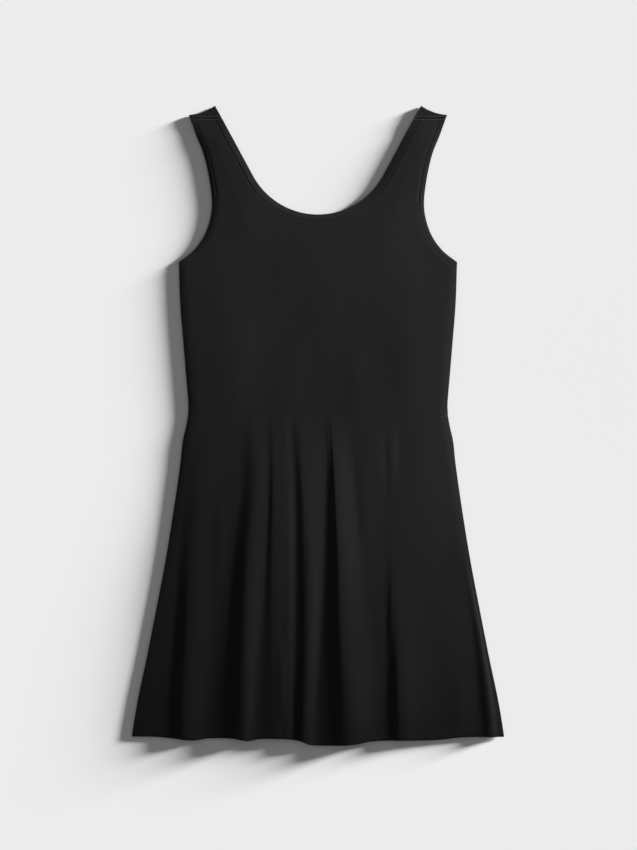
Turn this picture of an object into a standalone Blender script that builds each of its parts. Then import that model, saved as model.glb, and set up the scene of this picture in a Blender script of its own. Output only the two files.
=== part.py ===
"""A sleeveless tennis dress laid flat: a scoop-neck bodice with two straps and a short flared skirt.

Every piece is one wall of cloth. A piece starts as a grid, its points are placed in plan by the
garment's cut, and their height comes from how the cloth lies. A Solidify modifier gives it thickness.
Sizes are in millimetres, turned into metres when a mesh is made. X runs across the dress, Y up towards
the neck and Z up from the surface that it lies on. A height on the dress, as a maker measures it, runs
from the lowest point of the hem.
"""

import bisect
import math
from collections import namedtuple

import bmesh
import bpy
from mathutils import Vector

MM = 0.001

# Driving dimensions of the dress
LENGTH = 840.0
WAIST_HEIGHT = 432.5
UNDERARM_HEIGHT = 634.6
NECK_HEIGHT = 697.0
NECK_RADIUS = 97.0
NECK_TURN = math.radians(61.2)
STRAP_INNER_TOP = (135.0, 840.0)
STRAP_OUTER_TOP = (169.5, 828.0)
SHOULDER_SEAM_HEIGHT = 823.6
BACK_NECK_DROP = 3.0
BACK_HEM_RISE = 3.0

# Cloth, bands and the room between the pieces
CLOTH = 1.2
SEAM_GAP = 0.3
NECK_BAND = 8.5
ARM_BAND = 6.0
STRAP_FOLD_RADIUS = 1.2

# How the front lifts off the back: a small roll along every edge, then a low crown
EDGE_ROLL = 2.4
EDGE_ROLL_REACH = 8.0
CROWN = 1.5
CROWN_REACH = 60.0
STRAP_LIFT_REACH = 28.0

# How much of its crown the front loses towards the hem
HEM_CROWN_LOSS = 0.6

# Heights on the skirt at which the fold lines are measured, from the hem to the waist
STATIONS = (0.0, 60.0, 150.0, 250.0, 350.0, 432.5)

# Mesh steps
PANEL_COLUMNS = 11
PANEL_ROWS = 9
STRAP_ROWS = 15
BAND_COLUMNS = 2
SKIRT_ROWS = 12
FOLD_STEP = 8.0
FEWEST_FOLD_COLUMNS = 3
STRAP_FOLD_STEPS = 6
NECK_ARC_STEPS = 12
EDGE_STEPS = 40
CURVE_STEPS = 8
MERGE_DISTANCE = 0.01

Outline = namedtuple("Outline", "place value")
EdgePoint = namedtuple("EdgePoint", "half_width height")
FoldLine = namedtuple("FoldLine", "places rises")
Ripple = namedtuple("Ripple", "middle half_width rise lowest highest")


def table(columns, *rows):
    """A table whose rows are read by the names of their columns."""
    return [columns(*row) for row in rows]


# Side seam of the bodice and of the skirt. The place is the height, the value is the half width
BODICE_SIDE = table(
    Outline,
    (432.5, 170.6),
    (448.0, 170.0),
    (480.0, 172.6),
    (527.0, 176.5),
    (580.0, 180.7),
    (634.6, 182.5),
)
SKIRT_SIDE = table(
    Outline,
    (0.0, 246.2),
    (54.0, 237.6),
    (117.0, 224.4),
    (180.0, 212.0),
    (243.0, 200.0),
    (306.0, 189.7),
    (370.0, 180.5),
    (401.0, 177.2),
    (417.0, 173.3),
    (432.5, 170.6),
)

# Armhole edge from the underarm to the strap's outer top
ARMHOLE = table(
    EdgePoint,
    (182.5, 634.6),
    (162.8, 650.3),
    (147.3, 673.5),
    (139.4, 704.0),
    (141.5, 737.0),
    (149.6, 775.0),
    (159.8, 801.0),
    (169.5, 828.0),
)

# Hem seen from above. The place is x, the value is the height
HEM = table(
    Outline,
    (-246.0, 11.3),
    (-214.0, 11.1),
    (-190.0, 9.0),
    (-162.0, 6.5),
    (-146.0, 9.0),
    (-110.0, 9.0),
    (-92.0, 6.1),
    (-76.0, 8.6),
    (-44.0, 8.4),
    (-22.0, 5.4),
    (-10.0, 0.6),
    (24.0, 0.0),
    (52.0, 1.8),
    (66.0, 4.8),
    (100.0, 6.2),
    (155.0, 6.8),
    (190.0, 10.4),
    (246.0, 11.0),
)

# Lines that run down the front skirt, from left to right. A line is the crest of a fold or the
# trough beside it. It has a place across the skirt and a rise for each of the stations
FRONT_FOLDS = table(
    FoldLine,
    ((-230.0, -222.0, -208.0, -194.0, -180.0, -166.0), (0.0, 0.0, 0.0, 0.0, 0.0, 0.0)),
    ((-194.0, -193.0, -186.0, -182.5, -174.0, -161.0), (0.0, 0.0, 0.0, 0.0, 0.0, 0.0)),
    ((-175.5, -175.0, -170.5, -166.0, -157.0, -151.0), (4.4, 4.2, 3.6, 2.4, 0.8, 0.0)),
    ((-143.0, -141.0, -134.0, -130.0, -128.0, -126.0), (0.2, 0.2, 0.2, 0.1, 0.0, 0.0)),
    ((-125.0, -124.0, -117.0, -111.0, -102.0, -104.0), (1.5, 1.4, 1.0, 0.5, 0.2, 0.0)),
    ((-99.0, -97.0, -94.5, -90.5, -82.0, -84.0), (7.5, 7.4, 6.4, 5.0, 3.0, 0.5)),
    ((-82.0, -81.5, -75.5, -68.5, -65.0, -68.0), (1.8, 2.1, 2.5, 2.6, 1.6, 0.3)),
    ((-55.0, -58.0, -58.0, -59.0, -57.5, -58.0), (5.7, 5.9, 5.8, 5.0, 3.2, 0.5)),
    ((-43.0, -42.0, -41.0, -40.0, -42.0, -44.0), (4.6, 4.7, 4.8, 4.3, 2.7, 0.4)),
    ((-31.0, -29.0, -28.0, -28.0, -30.0, -36.0), (1.0, 1.3, 1.3, 1.3, 0.7, 0.0)),
    ((-19.0, -17.0, -13.0, -15.5, -20.0, -26.0), (4.8, 4.8, 4.5, 4.3, 3.0, 0.4)),
    ((-6.0, -5.0, 4.0, 11.5, 12.0, 8.0), (0.2, 0.3, 0.5, 0.6, 0.5, 0.0)),
    ((12.0, 14.0, 15.0, 18.0, 17.0, 13.0), (2.7, 2.2, 1.6, 1.9, 1.4, 0.2)),
    ((38.0, 37.0, 30.5, 27.0, 22.0, 18.0), (7.6, 7.4, 6.4, 5.3, 3.3, 0.4)),
    ((88.0, 86.0, 78.0, 62.0, 50.0, 45.0), (0.1, 0.2, 0.7, 0.9, 0.5, 0.0)),
    ((97.5, 96.5, 92.0, 89.0, 88.5, 88.0), (0.1, 0.2, 0.2, 0.1, 0.0, 0.0)),
    ((106.5, 105.0, 103.5, 98.0, 97.0, 96.0), (3.6, 3.4, 2.3, 0.6, 0.0, 0.0)),
    ((163.0, 160.0, 152.0, 140.0, 130.0, 125.0), (0.2, 0.2, 0.1, 0.0, 0.0, 0.0)),
    ((217.0, 211.0, 203.5, 185.0, 165.0, 150.0), (0.2, 0.2, 0.1, 0.0, 0.0, 0.0)),
    ((229.0, 224.5, 211.5, 191.5, 172.0, 157.0), (3.0, 2.8, 1.4, 0.1, 0.0, 0.0)),
    ((239.0, 232.0, 215.0, 195.5, 178.5, 164.0), (0.3, 0.3, 0.2, 0.0, 0.0, 0.0)),
)

# The same for the back skirt, which takes the front's main folds, lower, and lies flat between them
BACK_FOLDS = table(
    FoldLine,
    ((-230.0, -222.0, -208.0, -194.0, -180.0, -166.0), (0.0, 0.0, 0.0, 0.0, 0.0, 0.0)),
    ((-198.0, -196.0, -189.0, -184.0, -174.0, -161.0), (0.0, 0.0, 0.0, 0.0, 0.0, 0.0)),
    ((-175.5, -175.0, -170.5, -166.0, -157.0, -151.0), (1.6, 1.6, 1.3, 0.9, 0.2, 0.0)),
    ((-150.0, -148.0, -140.0, -130.0, -126.0, -128.0), (0.0, 0.0, 0.0, 0.0, 0.0, 0.0)),
    ((-130.0, -128.0, -120.0, -112.0, -102.0, -104.0), (0.0, 0.0, 0.0, 0.0, 0.0, 0.0)),
    ((-99.0, -97.0, -94.5, -90.5, -82.0, -84.0), (2.6, 2.5, 2.1, 1.6, 0.8, 0.0)),
    ((-70.0, -70.0, -66.0, -62.0, -62.0, -66.0), (0.0, 0.0, 0.0, 0.0, 0.0, 0.0)),
    ((-44.0, -42.0, -40.0, -40.0, -42.0, -46.0), (0.0, 0.0, 0.0, 0.0, 0.0, 0.0)),
    ((-19.0, -17.0, -13.0, -15.5, -20.0, -26.0), (2.0, 2.0, 1.8, 1.4, 0.6, 0.0)),
    ((2.0, 2.0, 6.0, 10.0, 8.0, 4.0), (0.0, 0.0, 0.0, 0.0, 0.0, 0.0)),
    ((38.0, 37.0, 30.5, 27.0, 22.0, 18.0), (2.6, 2.5, 2.1, 1.6, 0.8, 0.0)),
    ((72.0, 72.0, 68.0, 60.0, 50.0, 45.0), (0.0, 0.0, 0.0, 0.0, 0.0, 0.0)),
    ((90.0, 90.0, 86.0, 82.0, 80.0, 80.0), (0.0, 0.0, 0.0, 0.0, 0.0, 0.0)),
    ((110.0, 108.0, 103.5, 98.0, 97.0, 96.0), (2.0, 2.0, 1.3, 0.3, 0.0, 0.0)),
    ((136.0, 134.0, 130.0, 126.0, 122.0, 120.0), (0.0, 0.0, 0.0, 0.0, 0.0, 0.0)),
    ((211.0, 206.0, 200.0, 185.0, 165.0, 150.0), (0.0, 0.0, 0.0, 0.0, 0.0, 0.0)),
    ((227.0, 222.0, 210.0, 191.5, 172.0, 157.0), (1.3, 1.1, 0.6, 0.0, 0.0, 0.0)),
    ((239.0, 232.0, 215.0, 195.5, 178.5, 164.0), (0.0, 0.0, 0.0, 0.0, 0.0, 0.0)),
)

# Short ripples of the front skirt, between a lowest and a highest place
WAIST_RIPPLES = table(
    Ripple,
    (-130.0, 9.0, 1.2, 190.0, 340.0),
    (62.0, 10.0, 1.4, 255.0, 425.0),
    (76.5, 8.0, 1.3, 290.0, 430.0),
    (97.0, 11.0, 1.0, 330.0, 430.0),
)

# Soft drapes of the bodice
BODICE_DRAPES = table(
    Ripple,
    (-108.0, 34.0, 1.0, 380.0, 600.0),
    (-36.0, 30.0, 0.9, 390.0, 560.0),
    (48.0, 22.0, 0.8, 400.0, 540.0),
    (118.0, 36.0, 0.8, 400.0, 590.0),
)

CLOTH_COLOUR = (0.0185, 0.0185, 0.0195, 1.0)
CLOTH_ROUGHNESS = 0.85


def smooth(value):
    """A soft step from 0 at 0 to 1 at 1."""
    value = min(max(value, 0.0), 1.0)
    return value * value * (3.0 - 2.0 * value)


def between(first, last, share):
    return first + (last - first) * share


def curve_value(places, values, place):
    """The value at a place on a soft curve through the values, which stand at rising places."""
    index = min(max(bisect.bisect_right(places, place) - 1, 0), len(places) - 2)
    slopes = []
    for at in (index, index + 1):
        left = max(at - 1, 0)
        right = min(at + 1, len(places) - 1)
        slopes.append((values[right] - values[left]) / (places[right] - places[left]))
    run = places[index + 1] - places[index]
    share = min(max((place - places[index]) / run, 0.0), 1.0)
    near = (1.0 + 2.0 * share) * (1.0 - share) ** 2 * values[index]
    far = share**2 * (3.0 - 2.0 * share) * values[index + 1]
    bend = share * (1.0 - share) ** 2 * slopes[0] - share**2 * (1.0 - share) * slopes[1]
    return near + far + bend * run


def table_value(rows, place):
    """The value that an outline table gives at a place."""
    return curve_value([row.place for row in rows], [row.value for row in rows], place)


def rounded_curve(corners):
    """Points on a smooth curve through the corners."""
    padded = [corners[0] * 2 - corners[1], *corners, corners[-1] * 2 - corners[-2]]
    points = []
    for before, start, end, after in zip(padded, padded[1:], padded[2:], padded[3:]):
        for step in range(CURVE_STEPS):
            t = step / CURVE_STEPS
            points.append(
                0.5
                * (
                    2 * start
                    + (end - before) * t
                    + (2 * before - 5 * start + 4 * end - after) * t**2
                    + (3 * start - before - 3 * end + after) * t**3
                )
            )
    return [*points, corners[-1]]


def resampled(points, count):
    """The same line with its points spread evenly, count spaces in all."""
    lengths = [0.0]
    for start, end in zip(points, points[1:]):
        lengths.append(lengths[-1] + (end - start).length)
    spread = []
    for step in range(count + 1):
        reach = lengths[-1] * step / count
        index = min(max(bisect.bisect_left(lengths, reach) - 1, 0), len(points) - 2)
        share = (reach - lengths[index]) / (lengths[index + 1] - lengths[index])
        spread.append(points[index].lerp(points[index + 1], share))
    return spread


def cut_at_height(points, height):
    """The line up to where it first rises past a height."""
    kept = [points[0]]
    for start, end in zip(points, points[1:]):
        if end.y >= height:
            kept.append(start.lerp(end, (height - start.y) / (end.y - start.y)))
            return kept
        kept.append(end)
    return kept


def distance(point, line):
    """How far a point lies from a line of points."""
    nearest = math.inf
    for start, end in zip(line, line[1:]):
        run = end - start
        share = min(max((point - start).dot(run) / run.length_squared, 0.0), 1.0)
        nearest = min(nearest, (point - start - run * share).length)
    return nearest


def moved_in(line, width, turn, first, last):
    """A line moved sideways into the cloth. Its two ends move along the seams that cross them."""
    moved = []
    for index, point in enumerate(line):
        run = (line[min(index + 1, len(line) - 1)] - line[max(index - 1, 0)]).normalized()
        inward = Vector((run.y, -run.x)) * turn
        way = inward
        if index == 0:
            way = first
        if index == len(line) - 1:
            way = last
        moved.append(point + way * width / way.dot(inward))
    return moved


def neckline(drop=0.0):
    """Half of the scoop from its lowest point: a round arc, then a straight run up the strap."""
    centre = Vector((0.0, NECK_HEIGHT - drop + NECK_RADIUS))
    points = []
    for step in range(NECK_ARC_STEPS + 1):
        angle = NECK_TURN * step / NECK_ARC_STEPS
        points.append(centre + Vector((math.sin(angle), -math.cos(angle))) * NECK_RADIUS)
    return [*points, Vector(STRAP_INNER_TOP)]


def armhole():
    return rounded_curve([Vector(row) for row in ARMHOLE])


def bodice_side():
    points = []
    for step in range(EDGE_STEPS + 1):
        height = between(WAIST_HEIGHT, UNDERARM_HEIGHT, step / EDGE_STEPS)
        points.append(Vector((table_value(BODICE_SIDE, height), height)))
    return points


NECK_EDGE = resampled(neckline(), EDGE_STEPS)
ARM_EDGE = armhole()
SIDE_EDGE = resampled(bodice_side(), EDGE_STEPS // 4)


def edge_distance(x, height):
    """How far a place on the bodice lies inside its outline."""
    point = Vector((abs(x), height))
    return min(distance(point, NECK_EDGE), distance(point, ARM_EDGE), distance(point, SIDE_EDGE))


def lift(inside):
    """How far the front lies above the back, by the distance inside the outline."""
    roll = 1.0 - (1.0 - min(inside / EDGE_ROLL_REACH, 1.0)) ** 2
    return EDGE_ROLL * roll + CROWN * smooth(inside / CROWN_REACH)


def bumps(rows, x, height):
    """Low rounded ridges that fade at both ends."""
    total = 0.0
    for row in rows:
        across = abs(x - row.middle) / row.half_width
        along = (height - row.lowest) / (row.highest - row.lowest)
        if across < 1.0 and 0.0 < along < 1.0:
            total += row.rise * smooth(1.0 - across) * math.sin(math.pi * along)
    return total


def lines_at(folds, height):
    """Where the fold lines of a skirt run at a height, from side seam to side seam, and their rises."""
    side = table_value(SKIRT_SIDE, height)
    places = [curve_value(STATIONS, line.places, height) for line in folds]
    rises = [max(curve_value(STATIONS, line.rises, height), 0.0) for line in folds]
    return [-side, *places, side], [0.0, *rises, 0.0]


def fold_height(folds, x, height):
    """The height that the folds of a skirt give, between the two lines that a place lies between."""
    places, rises = lines_at(folds, height)
    index = min(max(bisect.bisect_right(places, x) - 1, 0), len(places) - 2)
    share = (x - places[index]) / (places[index + 1] - places[index])
    return between(rises[index], rises[index + 1], smooth(share))


def back_height(x, height):
    """Middle of the back's wall above the surface."""
    if height >= WAIST_HEIGHT:
        return CLOTH / 2
    return CLOTH / 2 + fold_height(BACK_FOLDS, x, height)


def front_height(x, height):
    """Middle of the front's wall above the surface."""
    stacked = back_height(x, height) + CLOTH + SEAM_GAP
    ripples = bumps(BODICE_DRAPES, x, height)
    if height < WAIST_HEIGHT:
        inside = table_value(SKIRT_SIDE, height) - abs(x)
        flat = 1.0 - HEM_CROWN_LOSS * smooth((WAIST_HEIGHT - height) / WAIST_HEIGHT)
        ripples += bumps(WAIST_RIPPLES, x, height)
        return stacked + lift(inside) * flat + ripples + fold_height(FRONT_FOLDS, x, height)
    inside = edge_distance(x, height)
    near_seam = smooth((height - SHOULDER_SEAM_HEIGHT) / STRAP_LIFT_REACH + 1.0)
    strap_end = CLOTH / 2 + 2 * STRAP_FOLD_RADIUS
    return between(stacked + lift(inside) + ripples, strap_end, near_seam)


class StrapTop:
    """The fold over the top of a back strap and its run down the front to the shoulder seam."""

    def __init__(self):
        inner = Vector(STRAP_INNER_TOP)
        outer = Vector(STRAP_OUTER_TOP)
        self.along = (outer - inner).normalized()
        self.up = Vector((-self.along.y, self.along.x))
        inset = self.up * (STRAP_FOLD_RADIUS + CLOTH / 2)
        self.inner = inner - inset
        self.outer = outer - inset
        seam = SHOULDER_SEAM_HEIGHT + SEAM_GAP / 2
        self.seam_inner = cut_at_height(NECK_EDGE, seam)[-1]
        self.seam_outer = cut_at_height(ARM_EDGE, seam)[-1]

    def share(self, point):
        """Where a point of the fold lies across the strap, 0 at the neck and 1 at the armhole."""
        return (point - self.inner).dot(self.along) / (self.outer - self.inner).length

    def rows(self, last_row):
        """Rows of points, as x, height and z, that carry a back piece on over the top."""
        rows = []
        middle = CLOTH / 2
        for step in range(1, STRAP_FOLD_STEPS + 1):
            angle = math.pi * step / STRAP_FOLD_STEPS
            reach = self.up * (STRAP_FOLD_RADIUS * math.sin(angle))
            z = middle + STRAP_FOLD_RADIUS * (1.0 - math.cos(angle))
            rows.append([(*(point + reach), z) for point in last_row])
        top = middle + 2 * STRAP_FOLD_RADIUS
        for down in (0.5, 1.0):
            row = []
            for point in last_row:
                seam = self.seam_inner.lerp(self.seam_outer, self.share(point))
                row.append((*point.lerp(seam, down), top))
            rows.append(row)
        return rows


STRAP_TOP = StrapTop()


def edge_lines(is_front):
    """The neck edge and armhole edge of one side of the dress, and the way its strap is cut across."""
    if is_front:
        seam = SHOULDER_SEAM_HEIGHT - SEAM_GAP / 2
        neck = cut_at_height(neckline(), seam)
        arm = cut_at_height(armhole(), seam)
        across = Vector((1.0, 0.0))
    else:
        neck = [*neckline(BACK_NECK_DROP)[:-1], STRAP_TOP.inner]
        arm = [*armhole()[:-2], STRAP_TOP.outer]
        across = STRAP_TOP.along
    return resampled(neck, STRAP_ROWS), resampled(arm, STRAP_ROWS), across


def inner_lines(is_front, neck_width, arm_width):
    """The two edge lines, each moved into the cloth by a width."""
    neck, arm, across = edge_lines(is_front)
    down = Vector((0.0, -1.0))
    return (
        moved_in(neck, neck_width, 1.0, down, across),
        moved_in(arm, arm_width, -1.0, down, -across),
    )


def rows_between(lines, columns, even):
    """Rows of plan points from one line to the other. Uneven rows are finer at both ends."""
    rows = []
    for start, end in zip(*lines):
        shares = [step / columns for step in range(columns + 1)]
        if not even:
            shares = [(1.0 - math.cos(math.pi * share)) / 2 for share in shares]
        rows.append([start.lerp(end, share) for share in shares])
    return rows


def raised(rows, is_front):
    """Plan rows with their heights, and for a back piece the rows that go over the strap's top."""
    height_at = front_height if is_front else back_height
    solid_rows = [[(p.x, p.y, height_at(p.x, p.y)) for p in row] for row in rows]
    mirrored = [[(-p.x, p.y, height_at(-p.x, p.y)) for p in row] for row in rows]
    if not is_front:
        over = STRAP_TOP.rows(rows[-1])
        solid_rows += over
        mirrored += [[(-x, h, z) for x, h, z in row] for row in over]
    return solid_rows, mirrored


def panel_rows(is_front):
    """Half of a bodice panel: rows from the centre to the side, then from the neck to the armhole."""
    neck, arm = inner_lines(is_front, NECK_BAND + SEAM_GAP, ARM_BAND + SEAM_GAP)
    waist = WAIST_HEIGHT + SEAM_GAP / 2
    centre = []
    side = []
    for step in range(PANEL_ROWS):
        share = step / PANEL_ROWS
        height = between(waist, arm[0].y, share)
        centre.append(Vector((0.0, between(waist, neck[0].y, share))))
        side.append(Vector((table_value(BODICE_SIDE, height), height)))
    arm[0].x = table_value(BODICE_SIDE, arm[0].y)
    return rows_between((centre + neck, side + arm), PANEL_COLUMNS, even=False)


def neck_band_rows(is_front):
    neck, _, _ = edge_lines(is_front)
    inner, _ = inner_lines(is_front, NECK_BAND, ARM_BAND)
    return rows_between((neck, inner), BAND_COLUMNS, even=True)


def arm_band_rows(is_front):
    _, arm, _ = edge_lines(is_front)
    _, inner = inner_lines(is_front, NECK_BAND, ARM_BAND)
    inner[0].x = table_value(BODICE_SIDE, inner[0].y)
    return rows_between((inner, arm), BAND_COLUMNS, even=True)


def skirt_rows(is_front):
    """A skirt panel: its columns follow the fold lines and its rows run from the waist to the hem."""
    folds = FRONT_FOLDS if is_front else BACK_FOLDS
    height_at = front_height if is_front else back_height
    hem_places, _ = lines_at(folds, 0.0)
    columns = []
    for index, (left, right) in enumerate(zip(hem_places, hem_places[1:])):
        count = max(FEWEST_FOLD_COLUMNS, round((right - left) / FOLD_STEP))
        columns += [(index, step / count) for step in range(count)]
    columns.append((len(hem_places) - 2, 1.0))
    waist = WAIST_HEIGHT - SEAM_GAP / 2
    rows = []
    for step in range(SKIRT_ROWS + 1):
        row = []
        for index, share in columns:
            hem_x = between(hem_places[index], hem_places[index + 1], share)
            hem = table_value(HEM, hem_x) + (0.0 if is_front else BACK_HEM_RISE)
            height = between(waist, hem, step / SKIRT_ROWS)
            places, _ = lines_at(folds, height)
            x = between(places[index], places[index + 1], share)
            row.append((x, height, height_at(x, height)))
        rows.append(row)
    return rows


def add_grid(mesh, rows):
    """A grid added to the mesh, its points moved to the rows of x, height and z."""
    columns = len(rows[0])
    made = bmesh.ops.create_grid(mesh, x_segments=columns - 1, y_segments=len(rows) - 1, size=1.0)
    corners = sorted(made["verts"], key=lambda corner: (round(corner.co.y, 5), round(corner.co.x, 5)))
    for index, corner in enumerate(corners):
        x, height, z = rows[index // columns][index % columns]
        corner.co = Vector((x, height - LENGTH / 2, z)) * MM


def cloth_material(name):
    material = bpy.data.materials.new(name)
    material.use_nodes = True
    shader = material.node_tree.nodes["Principled BSDF"]
    shader.inputs["Base Color"].default_value = CLOTH_COLOUR
    shader.inputs["Roughness"].default_value = CLOTH_ROUGHNESS
    shader.inputs["Metallic"].default_value = 0.0
    return material


def add_piece(name, grids, collection):
    """A named piece of cloth: its grids joined where they meet, given thickness about their middle."""
    mesh = bmesh.new()
    for rows in grids:
        add_grid(mesh, rows)
    bmesh.ops.remove_doubles(mesh, verts=mesh.verts, dist=MERGE_DISTANCE * MM)
    bmesh.ops.recalc_face_normals(mesh, faces=mesh.faces)
    data = bpy.data.meshes.new(name)
    mesh.to_mesh(data)
    mesh.free()
    data.shade_smooth()
    data.materials.append(cloth_material(name))
    piece = bpy.data.objects.new(name, data)
    collection.objects.link(piece)
    wall = piece.modifiers.new("cloth thickness", "SOLIDIFY")
    wall.thickness = CLOTH * MM
    wall.offset = 0.0
    wall.use_even_offset = True
    return piece


def build():
    for old in list(bpy.data.objects):
        bpy.data.objects.remove(old, do_unlink=True)
    collection = bpy.data.collections.new("tennis dress")
    bpy.context.scene.collection.children.link(collection)
    for side, is_front in (("front", True), ("back", False)):
        add_piece(f"{side}_bodice", raised(panel_rows(is_front), is_front), collection)
        add_piece(f"{side}_skirt", [skirt_rows(is_front)], collection)
        add_piece(f"{side}_neck_band", raised(neck_band_rows(is_front), is_front), collection)
        right, left = raised(arm_band_rows(is_front), is_front)
        add_piece(f"{side}_right_arm_band", [right], collection)
        add_piece(f"{side}_left_arm_band", [left], collection)


build()
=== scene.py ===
# %% [markdown]
# # A tennis dress laid flat
# The real thing is a plain black dress of stretch knit, lying on its back on a pale table and seen from
# straight above. It is cut from flat panels: a front and a back bodice with straps, a flared front and
# back skirt, and narrow bands that finish the neck and the armholes. In Blender, cloth like this can be
# simulated or built by hand. Here it is built from given folds, because every fold has a known place: it
# has to lie where the imported model lies, and it has to look like the one dress that is being copied.

# %% Load the imported model as a fixed frame
import bisect
import math
from collections import namedtuple

import bpy
import numpy
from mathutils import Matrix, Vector


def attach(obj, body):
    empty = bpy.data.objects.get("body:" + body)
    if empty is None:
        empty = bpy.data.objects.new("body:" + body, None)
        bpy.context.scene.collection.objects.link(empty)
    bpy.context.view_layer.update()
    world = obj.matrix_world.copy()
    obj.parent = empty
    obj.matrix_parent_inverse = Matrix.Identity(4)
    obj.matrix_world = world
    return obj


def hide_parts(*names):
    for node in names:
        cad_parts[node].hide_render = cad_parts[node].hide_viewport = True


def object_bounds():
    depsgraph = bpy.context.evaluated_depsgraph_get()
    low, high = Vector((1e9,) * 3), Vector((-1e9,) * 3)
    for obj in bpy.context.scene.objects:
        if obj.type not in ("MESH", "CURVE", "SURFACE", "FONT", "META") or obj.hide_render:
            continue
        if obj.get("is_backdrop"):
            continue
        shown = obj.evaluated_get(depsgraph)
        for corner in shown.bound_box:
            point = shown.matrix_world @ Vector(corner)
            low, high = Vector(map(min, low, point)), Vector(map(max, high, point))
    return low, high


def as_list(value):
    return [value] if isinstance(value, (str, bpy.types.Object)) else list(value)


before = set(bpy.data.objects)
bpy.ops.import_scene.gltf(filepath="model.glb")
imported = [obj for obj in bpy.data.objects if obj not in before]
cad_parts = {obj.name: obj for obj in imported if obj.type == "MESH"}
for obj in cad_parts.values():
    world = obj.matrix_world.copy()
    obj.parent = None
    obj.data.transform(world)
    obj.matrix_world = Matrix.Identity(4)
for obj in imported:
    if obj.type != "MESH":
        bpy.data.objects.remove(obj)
cad_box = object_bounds()
MM = 0.001
print("packed pieces:", ", ".join(sorted(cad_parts)))
print("size in mm:", [round((high - low) / MM, 1) for low, high in zip(*cad_box)])

# %% [markdown]
# ## Camera
# The camera looks straight down from about three metres with a long lens, so the dress keeps its true
# outline, as in a shop photograph. The long side of the frame is 1.1156 m on the table.

# %% Camera
LENS = 100.0
SENSOR = 36.0
FRAME_LONG_SIDE = 1.1156
FRAME_MIDDLE = (0.0007, 0.0007)
MEASURED_LEVEL = 0.003


def start_fresh():
    """Leave edit mode and deselect everything, so that an operator acts on the new shape alone."""
    if bpy.context.object and bpy.context.object.mode != "OBJECT":
        bpy.ops.object.mode_set(mode="OBJECT")
    bpy.ops.object.select_all(action="DESELECT")


start_fresh()
camera_height = FRAME_LONG_SIDE * LENS / SENSOR + MEASURED_LEVEL
bpy.ops.object.camera_add(location=(*FRAME_MIDDLE, camera_height), rotation=(0.0, 0.0, 0.0))
camera = bpy.context.object
camera.name = "camera above"
camera.data.lens = LENS
camera.data.sensor_width = SENSOR
camera.data.clip_end = 50.0
bpy.context.scene.camera = camera
print("camera height in metres:", round(camera_height, 3))

# %% [markdown]
# ## Sizes of the pattern
# A pattern cutter works from a few measures and some curves. Nearly the same ones shaped the packed
# model, so the finer panels made here lie on it to within a few millimetres. Sizes are in millimetres.
# X runs across the dress, and a height on the dress runs from the lowest point of the hem up to the
# tops of the straps.

# %% Measures
LENGTH = 840.0
WAIST_HEIGHT = 432.5
UNDERARM_HEIGHT = 634.6
NECK_HEIGHT = 697.0
NECK_RADIUS = 97.0
NECK_TURN = math.radians(61.2)
STRAP_INNER_TOP = (135.0, 840.0)
STRAP_OUTER_TOP = (169.5, 828.0)
SHOULDER_SEAM_HEIGHT = 823.6
BACK_NECK_DROP = 3.0
BACK_HEM_RISE = 3.0

# The wall of cloth, the space between two layers, and the joins between pieces
CLOTH = 1.2
STACK_GAP = 0.3
SEAM_GAP = 0.1
SHOULDER_GAP = 0.8
NECK_BAND = 8.5
ARM_BAND = 6.0
STRAP_FOLD_RADIUS = 1.2

# How the front rises from its edges and swells towards its middle
EDGE_ROLL = 2.2
EDGE_ROLL_REACH = 13.0
CROWN = 1.5
CROWN_REACH = 60.0
STRAP_LIFT_REACH = 28.0
HEM_CROWN_LOSS = 0.6

Outline = namedtuple("Outline", "place value")
EdgePoint = namedtuple("EdgePoint", "half_width height")
Ripple = namedtuple("Ripple", "middle lean half_width rise lowest highest")


def table(columns, *rows):
    """A table whose rows are read by the names of their columns."""
    return [columns(*row) for row in rows]


BODICE_SIDE = table(
    Outline,
    (432.5, 170.6),
    (448.0, 170.0),
    (480.0, 172.6),
    (527.0, 176.5),
    (580.0, 180.7),
    (634.6, 182.5),
)
SKIRT_SIDE = table(
    Outline,
    (0.0, 246.2),
    (54.0, 237.6),
    (117.0, 224.4),
    (180.0, 212.0),
    (243.0, 200.0),
    (306.0, 189.7),
    (370.0, 180.5),
    (401.0, 177.2),
    (417.0, 173.3),
    (432.5, 170.6),
)
ARMHOLE = table(
    EdgePoint,
    (182.5, 634.6),
    (162.8, 650.3),
    (147.3, 673.5),
    (139.4, 704.0),
    (141.5, 737.0),
    (149.6, 775.0),
    (159.8, 801.0),
    (169.5, 828.0),
)
HEM = table(
    Outline,
    (-246.0, 11.3),
    (-214.0, 11.1),
    (-190.0, 9.0),
    (-162.0, 6.5),
    (-146.0, 9.0),
    (-110.0, 9.0),
    (-92.0, 6.1),
    (-76.0, 8.6),
    (-44.0, 8.4),
    (-22.0, 5.4),
    (-10.0, 0.6),
    (24.0, 0.0),
    (52.0, 1.8),
    (66.0, 4.8),
    (100.0, 6.2),
    (155.0, 6.8),
    (190.0, 10.4),
    (246.0, 11.0),
)
print("waist width in mm:", 2 * BODICE_SIDE[0].value, "hem width:", 2 * SKIRT_SIDE[0].value)

# %% [markdown]
# ## Curves from a few points
# A short table of measured points becomes a smooth line with cubic curves between them. That is what a
# bent ruler does on paper. Small helpers move a line sideways by a band's width, spread its points
# evenly, and tell how far a place lies inside the outline.


# %% Curve helpers
CURVE_STEPS = 10
NECK_ARC_STEPS = 18
EDGE_STEPS = 60


def smooth(value):
    """A soft step from 0 at 0 to 1 at 1."""
    value = min(max(value, 0.0), 1.0)
    return value * value * (3.0 - 2.0 * value)


def between(first, last, share):
    return first + (last - first) * share


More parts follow.
